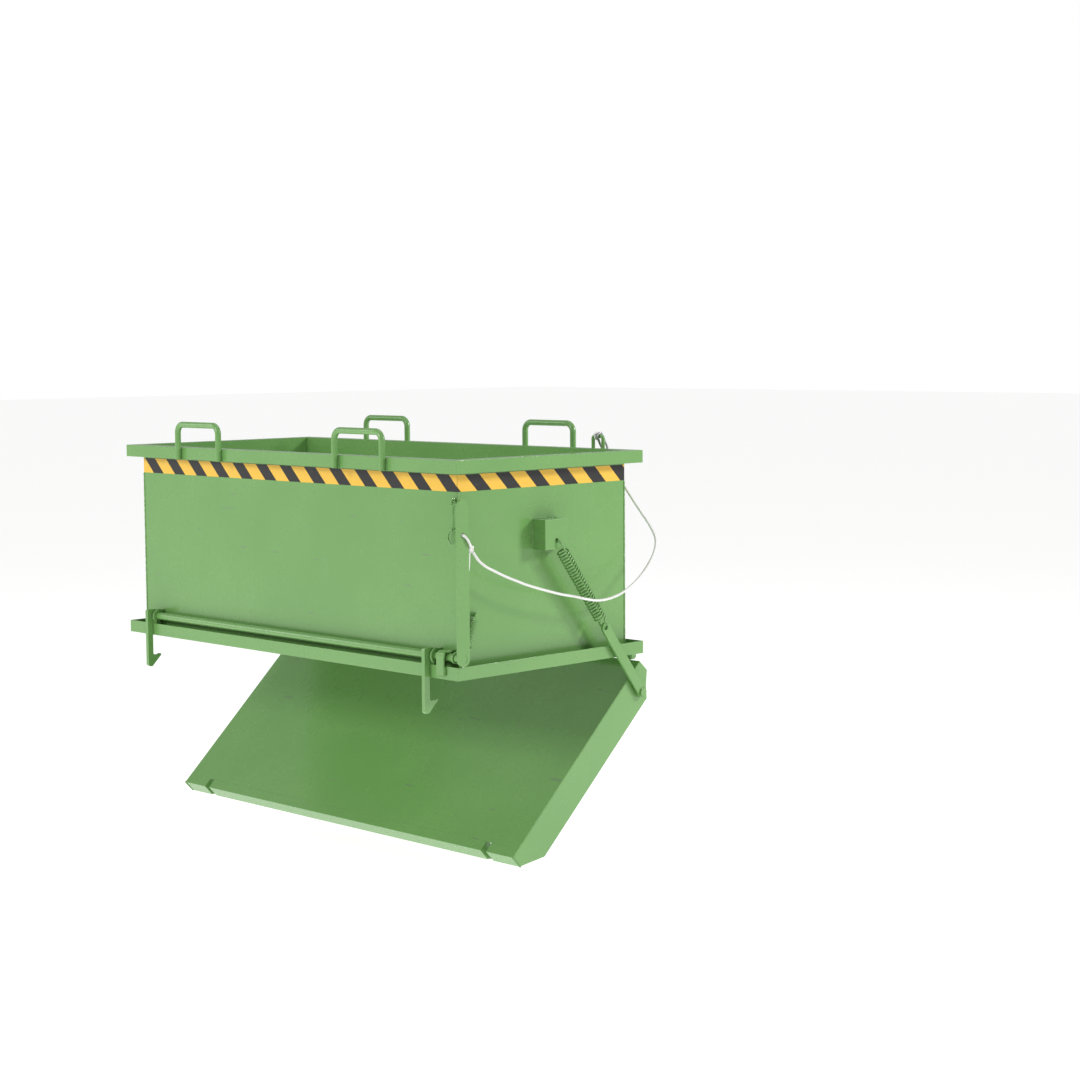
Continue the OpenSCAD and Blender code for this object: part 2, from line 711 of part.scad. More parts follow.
// the bight through the lever's hole, and the short free tail
module rope_loop() {
    y = rope_hole_y;
    z = rope_hole_z;
    out = lever_x + lever_t + rope_r + 1;
    inn = lever_x - rope_r - 1;
    color(white) {
        tube(spline([knot + [3, -2, 3], [out, knot[1] - 12, knot[2] + 13], [out, y + 12, z - 11],
            [out - 4, y, z], [lever_x + lever_t / 2, y, z], [inn + 4, y, z],
            [inn, y + 12, z - 11], [inn, knot[1] - 12, knot[2] + 13], knot + [-3, -2, 3]], 3),
            rope_r - 0.4, rope_sides);
        tube(spline([knot + [-3, -4, -9], knot + [-4, -5, -26], knot + [-5, -5, -46], knot + [-7, -6, -68]], 2),
            rope_r - 0.4, rope_sides);
    }
}

module pull_rope() {
    color(white) tube(spline(rope_points, 2), rope_r, rope_sides);
}

// turns of the rope round the top of the chain's eye
module rope_hitch() {
    color(white) for (i = [0 : 1])
        translate([hitch_x + i * (2 * rope_r + 0.2), eye_y, eye_mid]) rotate([0, 90, 0])
        rotate_extrude() translate([eye_rod / 2 + rope_r, 0]) circle(r = rope_r, $fn = 24);
}

front_wall();
rear_wall();
left_wall();
right_wall();
top_rim_front();
top_rim_rear();
top_rim_left();
top_rim_right();
bottom_rim_front();
bottom_rim_rear();
bottom_rim_left();
bottom_rim_right();
bail_front_left();
bail_front_right();
bail_rear_left();
bail_rear_right();
hazard_tape();
spring_bracket_left();
spring_bracket_right();
bearing_left();
bearing_right();
shaft_keeper();
hinge_lugs();
hinge_pins();
spring_peg();
chain_eye();
chain_ring();
safety_chain();
snap_hook();
pin_lug();
safety_pin();
safety_pin_ring();
flap_plate();
flap_flange();
flap_cheek_left();
flap_cheek_right();
flap_ribs();
flap_hinge_ears();
catch_plates();
flap_catches();
link_pins();
link_spacers();
lock_shaft();
lock_hook_left();
lock_hook_right();
release_lever();
spring_arm();
link_bar_left();
link_bar_right();
main_spring_left();
main_spring_right();
return_spring();
rope_knot();
rope_loop();
pull_rope();
rope_hitch();
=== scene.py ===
import math
import random

import bpy
from mathutils import Matrix, Vector


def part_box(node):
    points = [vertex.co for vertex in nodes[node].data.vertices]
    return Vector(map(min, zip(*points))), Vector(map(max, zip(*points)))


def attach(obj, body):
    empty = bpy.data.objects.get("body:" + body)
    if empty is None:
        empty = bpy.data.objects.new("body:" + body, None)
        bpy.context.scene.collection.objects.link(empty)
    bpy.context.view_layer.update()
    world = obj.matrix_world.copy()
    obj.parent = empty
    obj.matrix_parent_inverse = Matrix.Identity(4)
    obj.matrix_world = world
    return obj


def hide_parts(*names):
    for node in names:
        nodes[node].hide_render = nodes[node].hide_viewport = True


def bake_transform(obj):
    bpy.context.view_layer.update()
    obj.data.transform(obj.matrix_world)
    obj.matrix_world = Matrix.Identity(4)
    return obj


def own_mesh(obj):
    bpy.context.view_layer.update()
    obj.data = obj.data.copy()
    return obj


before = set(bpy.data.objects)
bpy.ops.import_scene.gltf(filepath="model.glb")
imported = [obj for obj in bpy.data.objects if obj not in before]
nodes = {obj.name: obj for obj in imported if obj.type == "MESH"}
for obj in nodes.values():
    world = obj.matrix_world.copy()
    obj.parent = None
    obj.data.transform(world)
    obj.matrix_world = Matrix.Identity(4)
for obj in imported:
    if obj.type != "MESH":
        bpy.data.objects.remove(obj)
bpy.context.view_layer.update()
scene = bpy.context.scene
print("frame loaded:", len(nodes), "nodes")


def srgb(r, g, b):  # 0-255 screen colour to the linear colour that shaders want
    def linear(c):
        c = c / 255
        return c / 12.92 if c <= 0.04045 else ((c + 0.055) / 1.055) ** 2.4
    return (linear(r), linear(g), linear(b), 1.0)


class Wire:  # a node socket that sums and products can be written with
    def __init__(self, graph, socket):
        self.graph = graph
        self.socket = socket

    def __add__(self, other):
        return self.graph.run("ADD", self, other)

    __radd__ = __add__

    def __sub__(self, other):
        return self.graph.run("SUBTRACT", self, other)

    def __rsub__(self, other):
        return self.graph.run("SUBTRACT", other, self)

    def __mul__(self, other):
        return self.graph.run("MULTIPLY", self, other)

    __rmul__ = __mul__

    def __truediv__(self, other):
        return self.graph.run("DIVIDE", self, other)

    def step(self, low, high):  # 0 below low, 1 above high, smooth between
        return self.graph.add("ShaderNodeMapRange", {"interpolation_type": "SMOOTHSTEP"},
                              {"Value": self, "From Min": low, "From Max": high})


class Graph:  # a shader or geometry tree being filled
    def __init__(self, tree):
        self.tree = tree
        tree.nodes.clear()

    def add(self, kind, settings=None, inputs=None, out=0):
        node = self.tree.nodes.new(kind)
        for key, value in (settings or {}).items():
            setattr(node, key, value)
        for key, value in (inputs or {}).items():
            if isinstance(value, Wire):
                self.tree.links.new(value.socket, node.inputs[key])
            else:
                node.inputs[key].default_value = value
        return Wire(self, node.outputs[out]) if node.outputs else node

    def run(self, operation, a, b=0.0):
        return self.add("ShaderNodeMath", {"operation": operation}, {0: a, 1: b})

    def mixColour(self, factor, a, b):
        return self.add("ShaderNodeMix", {"data_type": "RGBA"}, {0: factor, 6: a, 7: b}, 2)

    def noise(self, where, scale, detail=2.0, roughness=0.5):
        return self.add("ShaderNodeTexNoise", None,
                        {"Vector": where, "Scale": scale, "Detail": detail, "Roughness": roughness})

    def part(self, where, axis):  # one coordinate of a vector
        return self.add("ShaderNodeSeparateXYZ", None, {0: where}, axis)

    def place(self):  # Object coordinates
        return self.add("ShaderNodeTexCoord", None, None, 3)

    def along(self):  # the piece's own UV map
        return self.add("ShaderNodeUVMap", {"uv_map": "along"})

    def stretched(self, where, scale, turn=(0.0, 0.0, 0.0)):
        return self.add("ShaderNodeMapping", None, {0: where, 2: turn, 3: scale})

    def bump(self, height, strength, distance):
        return self.add("ShaderNodeBump", None,
                        {"Strength": strength, "Distance": distance, "Height": height})


def newMaterial(name):
    material = bpy.data.materials.new(name)
    material.use_nodes = True
    return material, Graph(material.node_tree)


def finishMaterial(graph, sockets):
    shader = graph.add("ShaderNodeBsdfPrincipled", None, sockets)
    graph.add("ShaderNodeOutputMaterial", None, {"Surface": shader})


def meshObject(name, points, faces, material, smooth=True):
    mesh = bpy.data.meshes.new(name)
    mesh.from_pydata([tuple(p) for p in points], [], faces)
    mesh.polygons.foreach_set("use_smooth", [smooth] * len(mesh.polygons))
    mesh.materials.append(material)
    mesh.update()
    piece = bpy.data.objects.new(name, mesh)
    scene.collection.objects.link(piece)
    return piece


cameraSetup = {
    "place": (5.5005, -4.7014, 0.3355),
    "ahead": (-0.7055, 0.7029, -0.0896),
    "roll": -0.382,      # degrees
    "lens": 72.33,
    "sensor": 36.0,
    "farthest": 200,
}


def makeCamera(setup):
    ahead = Vector(setup["ahead"]).normalized()
    right = ahead.cross(Vector((0, 0, 1))).normalized()
    up = right.cross(ahead)
    roll = math.radians(setup["roll"])
    sideways = right * math.cos(roll) + up * math.sin(roll)
    upward = up * math.cos(roll) - right * math.sin(roll)
    data = bpy.data.cameras.new("camera")
    data.lens = setup["lens"]
    data.sensor_width = setup["sensor"]
    data.clip_end = setup["farthest"]
    camera = bpy.data.objects.new("camera", data)
    camera.matrix_world = Matrix((
        (sideways.x, upward.x, -ahead.x, setup["place"][0]),
        (sideways.y, upward.y, -ahead.y, setup["place"][1]),
        (sideways.z, upward.z, -ahead.z, setup["place"][2]),
        (0, 0, 0, 1)))
    scene.collection.objects.link(camera)
    scene.camera = camera


makeCamera(cameraSetup)
print("camera set")


mm = 0.001
ropeRoute = [            # from the knot on the lever to the chain's eye, in millimetres
    (850, -347, -272), (853, -340.5, -284), (858, -327, -302), (864, -305, -319),
    (867, -276, -333), (872, -240, -350), (876, -200, -366), (880, -155, -383),
    (883, -110, -397), (885, -60, -411), (886, -10, -424), (887, 40, -434),
    (888, 90, -446), (888, 140, -455), (888, 190, -455), (888, 240, -446),
    (888, 290, -427), (886, 340, -398), (882, 385, -362), (872, 425, -324),
    (850, 455, -286), (815, 466, -246), (775, 465, -202), (735, 462, -155),
    (697, 461, -109), (664, 459, -66), (640, 454, -31), (628, 443, -3), (628, 429, 18),
    (632.1, 420.1, 30)]

ropeSetup = {
    "diameter": 0.008,
    "strands": 6,         # plaits seen round the rope
    "plait": 0.0062,      # length of one plait
    "depth": 0.0005,      # groove between the plaits
    "swell": 0.3,         # share of it that the plaits stand proud
    "sides": 24,
    "smooth": 24,         # curve points between two points of the route
    "ringStep": 0.00125,
    "shortStep": 0.0015,  # the same on the short pieces
    "tipLeast": 0.04,     # how small a closed tip may get, squared
    "slackTo": (0.885, -0.06, -0.411),  # the rope follows the lever up to here
}
# shade is the painted shade that lies in the grooves between the plaits
ropeColour = {"white": srgb(250, 250, 248), "shade": srgb(214, 214, 210), "grime": srgb(186, 182, 170)}


def ropeMaterial():
    material, g = newMaterial("braidedRope")
    along = g.along()
    u = g.part(along, 0)
    v = g.part(along, 1)
    twist = g.add("ShaderNodeCombineXYZ", None, {0: u * 900 + v * 14, 1: v * 40, 2: 0.0})
    fibre = g.noise(twist, 1.0, 3.0, 0.6)
    grime = g.noise(g.place(), 9.0, 3.0).step(0.48, 0.78)
    plaits = u * (math.pi / ropeSetup["plait"]) + v * 18.85  # three turns of the strands round the rope
    # painted shade: the rope turns to its shade colour along one set of grooves between the plaits; the
    # fibre noise is the rope's own uneven tone
    plaitShade = g.run("ABSOLUTE", g.run("SINE", plaits))
    clean = g.mixColour(plaitShade * 0.4 + fibre * 0.5, ropeColour["shade"], ropeColour["white"])
    colour = g.mixColour(grime * 0.35, clean, ropeColour["grime"])
    bump = g.bump(fibre, 0.5, 0.0004)
    finishMaterial(g, {"Base Color": colour, "Roughness": fibre * 0.2 + 0.65, "Sheen Weight": 0.3,
                       "Sheen Roughness": 0.4, "Specular IOR Level": 0.3, "Normal": bump})
    return material


rope = ropeMaterial()


def smoothLine(points, per):  # a smooth curve through a row of points
    line = []
    for i in range(len(points) - 1):
        a, b, c, d = (points[min(max(j, 0), len(points) - 1)] for j in (i - 1, i, i + 1, i + 2))
        for k in range(per):
            u = k / per
            line.append(0.5 * (2 * b + (c - a) * u + (2 * a - 5 * b + 4 * c - d) * u * u
                               + (3 * b - a - 3 * c + d) * u * u * u))
    return line + [points[-1].copy()]


def evenly(line, step):  # the same line with points a step apart
    count = max(2, round(lineLength(line) / step))
    total, spaced, travelled, want = lineLength(line), [line[0].copy()], 0.0, 1
    for a, b in zip(line, line[1:]):
        stretch = (b - a).length
        while want < count and travelled + stretch >= total * want / count:
            spaced.append(a.lerp(b, (total * want / count - travelled) / stretch))
            want += 1
        travelled += stretch
    return spaced + [line[-1].copy()]


def lineLength(line):
    return sum((b - a).length for a, b in zip(line, line[1:]))


def frames(line):  # heading, and two sideways directions carried along without twist
    heads = [(line[min(i + 1, len(line) - 1)] - line[max(i - 1, 0)]).normalized() for i in range(len(line))]
    side = heads[0].orthogonal().normalized()
    out = []
    for head in heads:
        side = (side - head * side.dot(head)).normalized()
        out.append((head, side, head.cross(side)))
    return out


def tubeMesh(line, sides, radiusAt):  # a closed tube; radiusAt takes metres along and the turn
    points, faces, uvs = [], [], []
    travelled = 0.0
    for i, (centre, (head, side, other)) in enumerate(zip(line, frames(line))):
        if i:
            travelled += (centre - line[i - 1]).length
        for k in range(sides):
            turn = 2 * math.pi * k / sides
            r = radiusAt(travelled, turn)
            points.append(centre + side * (r * math.cos(turn)) + other * (r * math.sin(turn)))
            uvs.append((travelled, k / sides))
    for i in range(len(line) - 1):
        for k in range(sides):
            m = (k + 1) % sides
            faces.append((i * sides + k, i * sides + m, (i + 1) * sides + m, (i + 1) * sides + k))
    faces.append(tuple(range(sides - 1, -1, -1)))
    last = (len(line) - 1) * sides
    faces.append(tuple(last + k for k in range(sides)))
    return points, faces, uvs


def layUv(piece, uvs, sides):  # metres along the tube and share of a turn, kept whole at the seam
    layer = piece.data.uv_layers.new(name="along")
    for face in piece.data.polygons:
        turns = [uvs[v][1] for v in face.vertices]
        wraps = max(turns) - min(turns) > 0.5
        for loop, v in zip(face.loop_indices, face.vertices):
            u, turn = uvs[v]
            layer.data[loop].uv = (u, turn + 1 if wraps and turn < 0.5 else turn)


def plaited(travelled, turn):
    setup = ropeSetup
    n = setup["strands"] / 2
    one = math.sin(math.pi * travelled / setup["plait"] + n * turn)
    two = math.sin(math.pi * travelled / setup["plait"] - n * turn)
    groove = setup["depth"] * (1 - abs(one * two))
    return setup["diameter"] / 2 - groove + setup["depth"] * setup["swell"]


def ropeTube(name, line, step, ends=0.0):
    even = evenly(line, step)
    total = lineLength(even)

    def thick(travelled, turn):  # ends close to a rounded tip where asked
        near = min(travelled, total - travelled)
        if near > ends or ends == 0:
            return plaited(travelled, turn)
        return plaited(travelled, turn) * math.sqrt(max(ropeSetup["tipLeast"], 1 - (1 - near / ends) ** 2))

    points, faces, uvs = tubeMesh(even, ropeSetup["sides"], thick)
    piece = meshObject(name, points, faces, rope)
    layUv(piece, uvs, ropeSetup["sides"])
    return piece, even


def joined(name, pieces):  # several meshes as one piece
    bpy.ops.object.select_all(action="DESELECT")
    for piece in pieces:
        piece.select_set(True)
    bpy.context.view_layer.objects.active = pieces[0]
    bpy.ops.object.join()
    pieces[0].name = name
    pieces[0].data.name = name
    return pieces[0]


lever = {"x": 0.843, "thick": 0.008, "holeY": -0.389, "holeZ": -0.2192}
knotSetup = {"at": Vector((0.847, -0.3525, -0.262)), "size": 0.0027, "steps": 120,
             "part": 0.985,       # share of the closed figure that is laid
             "step": 0.0016, "tip": 0.002}
bightSetup = {"off": 0.0052,      # from the lever's faces to the rope's middle
              "turn": 0.004,      # how far the rope cuts the corner at the hole
              "spread": 0.012,    # back from the hole and from the knot
              "rise": 0.011,      # below the hole
              "neck": 0.013,      # above the knot
              "smooth": 12, "tip": 0.004,
              "tail": ((-3, -4, -9), (-4, -5, -26), (-5, -5, -46), (-7, -6, -68))}
hitchSetup = {"x": 0.6322, "y": 0.410, "z": 0.039, "rod": 0.012, "clear": 0.0002,
              "turns": 1.15, "from": -0.12, "steps": 96, "tip": 0.003}


def makePullRope():
    line = smoothLine([Vector(p) * mm for p in ropeRoute], ropeSetup["smooth"])
    return ropeTube("pullRope", line, ropeSetup["ringStep"])


def makeKnot():  # a pulled-tight overhand knot
    setup = knotSetup
    size, steps = setup["size"], setup["steps"]
    line = []
    for i in range(steps + 1):
        t = 2 * math.pi * i / steps * setup["part"]
        line.append(setup["at"] + Vector((size * 0.8 * -math.sin(3 * t),
                                          size * (math.sin(t) + 2 * math.sin(2 * t)),
                                          size * (math.cos(t) - 2 * math.cos(2 * t)))))
    return ropeTube("ropeKnot", line, setup["step"], setup["tip"])[0]


def makeBight():  # the loop through the lever's hole, and the short free tail
    setup = bightSetup
    out = lever["x"] + lever["thick"] + setup["off"]
    inn = lever["x"] - setup["off"]
    y, z, k = lever["holeY"], lever["holeZ"], knotSetup["at"]
    spread, rise, neck = setup["spread"], setup["rise"], setup["neck"]
    loop = [k + Vector((3, -2, 3)) * mm,
            Vector((out, k.y - spread, k.z + neck)),
            Vector((out, y + spread, z - rise)),
            Vector((out - setup["turn"], y, z)),
            Vector((lever["x"] + lever["thick"] / 2, y, z)),
            Vector((inn + setup["turn"], y, z)),
            Vector((inn, y + spread, z - rise)),
            Vector((inn, k.y - spread, k.z + neck)),
            k + Vector((-3, -2, 3)) * mm]
    tail = [k + Vector(p) * mm for p in setup["tail"]]
    smooth, step = setup["smooth"], ropeSetup["shortStep"]
    first = ropeTube("ropeLoop", smoothLine(loop, smooth), step)[0]
    second = ropeTube("ropeTail", smoothLine(tail, smooth), step, setup["tip"])[0]
    return joined("ropeLoop", [first, second])


def makeHitch():  # a little over one turn round the top of the chain's eye
    setup = hitchSetup
    ring = setup["rod"] / 2 + ropeSetup["diameter"] / 2 + setup["clear"]
    line = []
    for i in range(setup["steps"] + 1):
        turn = 2 * math.pi * (setup["turns"] * i / setup["steps"] + setup["from"])
        line.append(Vector((setup["x"] + ropeSetup["diameter"] * turn / (2 * math.pi),
                            setup["y"] + ring * math.cos(turn), setup["z"] + ring * math.sin(turn))))
    return ropeTube("ropeHitch", line, ropeSetup["shortStep"], setup["tip"])[0]


pullRope, ropeLine = makePullRope()
knot = makeKnot()
bight = makeBight()
hitch = makeHitch()
ropeLong = lineLength(ropeLine)
for piece, node, body in ((knot, "rope_knot", "lock"), (bight, "rope_loop", "lock"),
                          (hitch, "rope_hitch", "container")):
    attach(piece, body)
    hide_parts(node)
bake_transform(pullRope)
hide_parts("pull_rope")
print("rope laid:", round(ropeLong, 3), "m")


paintSetup = {
    "green": srgb(111, 160, 88),
    "deep": srgb(105, 154, 83),
    "pale": srgb(124, 171, 103),
    "dust": srgb(170, 176, 160),
    "bare": srgb(120, 122, 118),
    "broadScale": 2.2,    # slow drift of the colour
    "cloudScale": 14.0,
    "peelScale": 420.0,   # orange peel
    "chipScale": 130.0,
    "chipAt": 0.80,       # lower gives more chips
    "chipSoft": 0.015,
    "wear": 0.05,         # more of them on the parts that rub
}


def paintMaterial(name, wear=0.0):  # powder coat: orange peel, faint runs and dust, small chips
    material, g = newMaterial(name)
    setup = paintSetup
    where = g.place()
    broad = g.noise(where, setup["broadScale"], 3.0, 0.55)
    cloud = g.noise(where, setup["cloudScale"], 4.0, 0.6)
    streak = g.noise(g.stretched(where, (26.0, 26.0, 2.4)), 1.0, 3.0, 0.6)
    peel = g.noise(where, setup["peelScale"], 2.0, 0.5)
    dust = streak.step(0.6, 0.9) * 0.07 + cloud.step(0.62, 0.85) * 0.04
    body = g.mixColour(broad.step(0.3, 0.7), setup["deep"], setup["green"])
    body = g.mixColour(cloud * 0.09, body, setup["pale"])
    body = g.mixColour(dust, body, setup["dust"])
    scratchWay = g.stretched(where, (9.0, 90.0, 60.0), (0.4, 0.9, 0.3))
    scratch = g.noise(scratchWay, 1.0, 1.0, 0.4).step(0.755, 0.775)
    chipAt = setup["chipAt"] - wear
    chip = g.noise(where, setup["chipScale"], 3.0, 0.7).step(chipAt, chipAt + setup["chipSoft"])
    worn = g.run("MAXIMUM", scratch * 0.35, chip)
    colour = g.mixColour(worn, body, setup["bare"])
    rough = broad * 0.06 + cloud * 0.06 + dust * 0.35 + worn * 0.2 + 0.21
    bump = g.bump(peel - worn * 1.5 + cloud * 0.3, 0.32, 0.00035)
    finishMaterial(g, {"Base Color": colour, "Roughness": rough, "Metallic": worn * 0.5,
                       "Specular IOR Level": 0.5, "Coat Weight": 0.25, "Coat Roughness": 0.12,
                       "Normal": bump})
    return material


zincSetup = {
    "galvanised": {"shade": 150, "rust": 0.0},
    "zincPlated": {"shade": 165, "rust": 0.06},
    "glint": 40,          # how much brighter a spangle's light side is
    "stain": srgb(118, 108, 96),
    "spangleScale": 230.0,
    "stainScale": 55.0,
    "fineScale": 900.0,
}


def zincMaterial(name):  # steel with zinc spangle
    material, g = newMaterial(name)
    setup, where = zincSetup, g.place()
    shade, rust = setup[name]["shade"], setup[name]["rust"]
    light = shade + setup["glint"]
    spangle = g.add("ShaderNodeTexVoronoi", None, {"Vector": where, "Scale": setup["spangleScale"]}, 1)
    grain = g.part(spangle, 0)
    stain = g.noise(where, setup["stainScale"], 4.0, 0.65).step(0.5 - rust, 0.72)
    fine = g.noise(where, setup["fineScale"], 2.0)
    bright = g.mixColour(grain * 0.5, srgb(shade, shade + 1, shade + 3), srgb(light, light + 1, light + 3))
    colour = g.mixColour(stain * 0.45, bright, setup["stain"])
    bump = g.bump(fine + grain * 0.3, 0.25, 0.0002)
    finishMaterial(g, {"Base Color": colour, "Roughness": grain * 0.14 + stain * 0.25 + 0.3,
                       "Metallic": 1.0 - stain * 0.4, "Normal": bump})
    return material


tapeSetup = {
    "period": 0.1248,     # one black and one yellow stripe along the wall
    "black": 0.475,       # share of black
    "start": 0.058,       # where the first black one begins
    "thick": 0.0006,
    "low": -0.096,
    "high": -0.046,
    "wallX": 0.8,         # half the container's walls
    "wallY": 0.362,
    "step": 0.01,         # between its cross lines
    "wave": 0.00008,      # how uneven it lies
    "seed": 4,
    "soft": 0.004,        # blur of a stripe's edge, as a share of the period
    "yellow": (srgb(236, 184, 52), srgb(246, 200, 78)),
    "dark": (srgb(6, 6, 6), srgb(16, 16, 16)),
    "scuff": srgb(170, 160, 130),
}


def tapeMaterial():  # slanted black and yellow vinyl with scuffs and small creases
    material, g = newMaterial("hazardVinyl")
    setup, where, along = tapeSetup, g.place(), g.along()
    black, soft = setup["black"], setup["soft"]
    slant = g.part(along, 0) + g.part(along, 1) - setup["start"]
    phase = g.run("FRACT", slant / setup["period"] + 1.0)
    stripe = phase.step(0.0, 2 * soft) - phase.step(black - soft, black + soft)
    cells = g.add("ShaderNodeTexVoronoi", None, {"Vector": where, "Scale": 420.0})
    scuff = g.noise(g.stretched(where, (30.0, 30.0, 120.0)), 1.0, 3.0, 0.7).step(0.62, 0.8)
    cloud = g.noise(where, 20.0, 3.0)
    yellow = g.mixColour(cloud * 0.5, *setup["yellow"])
    dark = g.mixColour(cloud * 0.5, *setup["dark"])
    colour = g.mixColour(stripe, yellow, dark)
    colour = g.mixColour(scuff * 0.18, colour, setup["scuff"])
    bump = g.bump(cells + scuff * 2.0, 0.2, 0.0002)
    finishMaterial(g, {"Base Color": colour, "Roughness": cells * 0.1 + scuff * 0.3 + 0.32,
                       "Coat Weight": 0.2, "Coat Roughness": 0.2, "Normal": bump})
    return material


green = paintMaterial("greenPowderCoat")
wornGreen = paintMaterial("wornPowderCoat", paintSetup["wear"])
zinc = zincMaterial("galvanised")
hookZinc = zincMaterial("zincPlated")
vinyl = tapeMaterial()
print("finishes made")

finishOf = {   # nodes that aren't plain green
    rope: ("rope_knot", "rope_loop", "pull_rope", "rope_hitch"),
    zinc: ("hazard_tape", "chain_ring", "safety_chain"),
    hookZinc: ("snap_hook",),
    wornGreen: ("lock_hook_left", "lock_hook_right", "release_lever", "lock_shaft", "link_bar_left",
                "link_bar_right", "spring_arm", "flap_flange", "hinge_pins", "link_pins", "safety_pin",
                "safety_pin_ring", "bail_front_left", "bail_front_right", "bail_rear_left",
                "bail_rear_right"),
}


def setFinish(node, material):
    slots = nodes[node].data.materials
    if not len(slots):
        slots.append(material)
    for i in range(len(slots)):
        slots[i] = material


for node in nodes:
    setFinish(node, next((m for m, names in finishOf.items() if node in names), green))

edgeSetup = {"plate": 0.0008, "bar": 0.0018,   # how far sheet and bar edges are broken
             "steps": 2, "sharp": 35,           # degrees between faces where an edge counts
             "merge": 0.00002}
barNodes = ("lock_hook_left", "lock_hook_right", "release_lever", "spring_arm", "bearing_left",
            "bearing_right", "shaft_keeper", "hinge_lugs", "flap_hinge_ears", "flap_catches",
            "catch_plates", "pin_lug")
plateKinds = ("top_rim", "bottom_rim", "flap_plate", "flap_flange", "flap_cheek", "flap_ribs",
              "spring_bracket")


def breakEdges(node, width):
    weld = nodes[node].modifiers.new("weld", "WELD")
    weld.merge_threshold = edgeSetup["merge"]
    bevel = nodes[node].modifiers.new("edges", "BEVEL")
    bevel.width = width
    bevel.segments = edgeSetup["steps"]
    bevel.limit_method = "ANGLE"
    bevel.angle_limit = math.radians(edgeSetup["sharp"])
    bevel.harden_normals = True
    bevel.use_clamp_overlap = True


for node in barNodes:
    breakEdges(node, edgeSetup["bar"])
for node in nodes:
    if node.startswith(plateKinds):
        breakEdges(node, edgeSetup["plate"])


def makeTape():
    setup = tapeSetup
    thick, low, high, wavy = setup["thick"], setup["low"], setup["high"], setup["wave"]
    xs, ys = setup["wallX"], setup["wallY"]
    section = ((low, 0.0), (low, thick), ((low + high) / 2, thick), (high, thick), (high, 0.0))
    chance = random.Random(setup["seed"])
    walls = (   # start corner, end corner, outward way
        ((-xs, -ys), (xs, -ys), (0, -1)), ((xs, -ys), (xs, ys), (1, 0)),
        ((xs, ys), (-xs, ys), (0, 1)), ((-xs, ys), (-xs, -ys), (-1, 0)))
    points, faces, uvs = [], [], []
    laid = 0.0                                     # metres laid before this wall
    for start, end, way in walls:
        start, end, way = Vector((*start, 0)), Vector((*end, 0)), Vector((*way, 0))
        long = (end - start).length
        count = int(long / setup["step"])
        first = len(points)
        for i in range(count + 1):
            along = start.lerp(end, i / count)
            for z, lift in section:
                wave = chance.uniform(-wavy, wavy) if lift else 0.0
                points.append(along + way * (lift + wave) + Vector((0, 0, z)))
                uvs.append((laid + i / count * long, z - low))
        for i in range(count):
            for k in range(len(section) - 1):
                a = first + i * len(section) + k
                b = a + len(section)
                faces.append((a, b, b + 1, a + 1))
        laid += long
    tape = meshObject("hazardTape", points, faces, vinyl, smooth=False)
    layer = tape.data.uv_layers.new(name="along")
    for face in tape.data.polygons:
        for loop, v in zip(face.loop_indices, face.vertices):
            layer.data[loop].uv = uvs[v]
    return tape


tape = makeTape()
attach(tape, "container")
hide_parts("hazard_tape")
print("tape laid")


def newTree(name, sizes):  # a tree with named sizes: {name: (socket type, value)}
    tree = bpy.data.node_groups.new(name, "GeometryNodeTree")
    tree.interface.new_socket("Geometry", in_out="INPUT", socket_type="NodeSocketGeometry")
    for label, (kind, value) in sizes.items():
        socket = tree.interface.new_socket(label, in_out="INPUT", socket_type=kind)
        if kind != "NodeSocketMaterial":
            socket.default_value = value
    tree.interface.new_socket("Geometry", in_out="OUTPUT", socket_type="NodeSocketGeometry")
    graph = Graph(tree)
    entry = tree.nodes.new("NodeGroupInput")
    given = {s.name: Wire(graph, s) for s in entry.outputs if s.name}
    return tree, graph, given


def closeTree(graph, shape, material):
    real = graph.add("GeometryNodeRealizeInstances", None, {"Geometry": shape})
    dressed = graph.add("GeometryNodeSetMaterial", None, {"Geometry": real, "Material": material})
    graph.add("NodeGroupOutput", None, {0: dressed})


def grow(name, holder, tree, values):  # runs the tree on holder and keeps its result as a plain mesh piece
    modifier = holder.modifiers.new("grow", "NODES")
    modifier.node_group = tree
    for item in tree.interface.items_tree:
        if item.in_out == "INPUT" and item.name in values:
            modifier[item.identifier] = values[item.name]
    evaluated = holder.evaluated_get(bpy.context.evaluated_depsgraph_get())
    mesh = bpy.data.meshes.new_from_object(evaluated)
    bpy.data.objects.remove(holder)
    mesh.name = name
    piece = bpy.data.objects.new(name, mesh)
    scene.collection.objects.link(piece)
    return piece


def lineHolder(name, lines):  # a curve object of straight-sided lines for a tree to work on
    curve = bpy.data.curves.new(name, "CURVE")
    curve.dimensions = "3D"
    for line in lines:
        spline = curve.splines.new("POLY")
        spline.points.add(len(line) - 1)
        for point, place in zip(spline.points, line):
            point.co = (*place, 1.0)
    holder = bpy.data.objects.new(name, curve)
    scene.collection.objects.link(holder)
    return holder


mainSpring = {
    "wire": 0.003, "coil": 0.017,     # half the wire and half the coil's middle line
    "turns": 25, "perTurn": 26, "sides": 10,
    "lead": 1.35,                     # where the turns begin, in coil radii from the ring's middle
    "from": 0.0,
    "x": 0.853, "anchor": (0.0, -0.261), "pin": (0.3845, -0.7750), "link": 0.280,
    "first": 0.0193, "last": 0.0135,  # ring's middle from the anchor and from the link's hole
    "keep": 0.74,                     # share of the length when the flap is shut
}
backSpring = {
    "wire": 0.0012, "coil": 0.0105, "turns": 11, "perTurn": 24, "sides": 8, "lead": 1.35,
    "from": -math.pi / 2, "ring": 0.0078, "ringFrom": 60, "ringStep": 10, "ringCount": 25,
    "x": 0.813, "anchor": (-0.302, -0.466), "armEye": (-0.333, -0.562), "first": 0.0, "last": 0.0093,
}
ringEnds = {"hook": (-230, 40), "eye": (-40, 230)}  # angles of an end ring, degrees


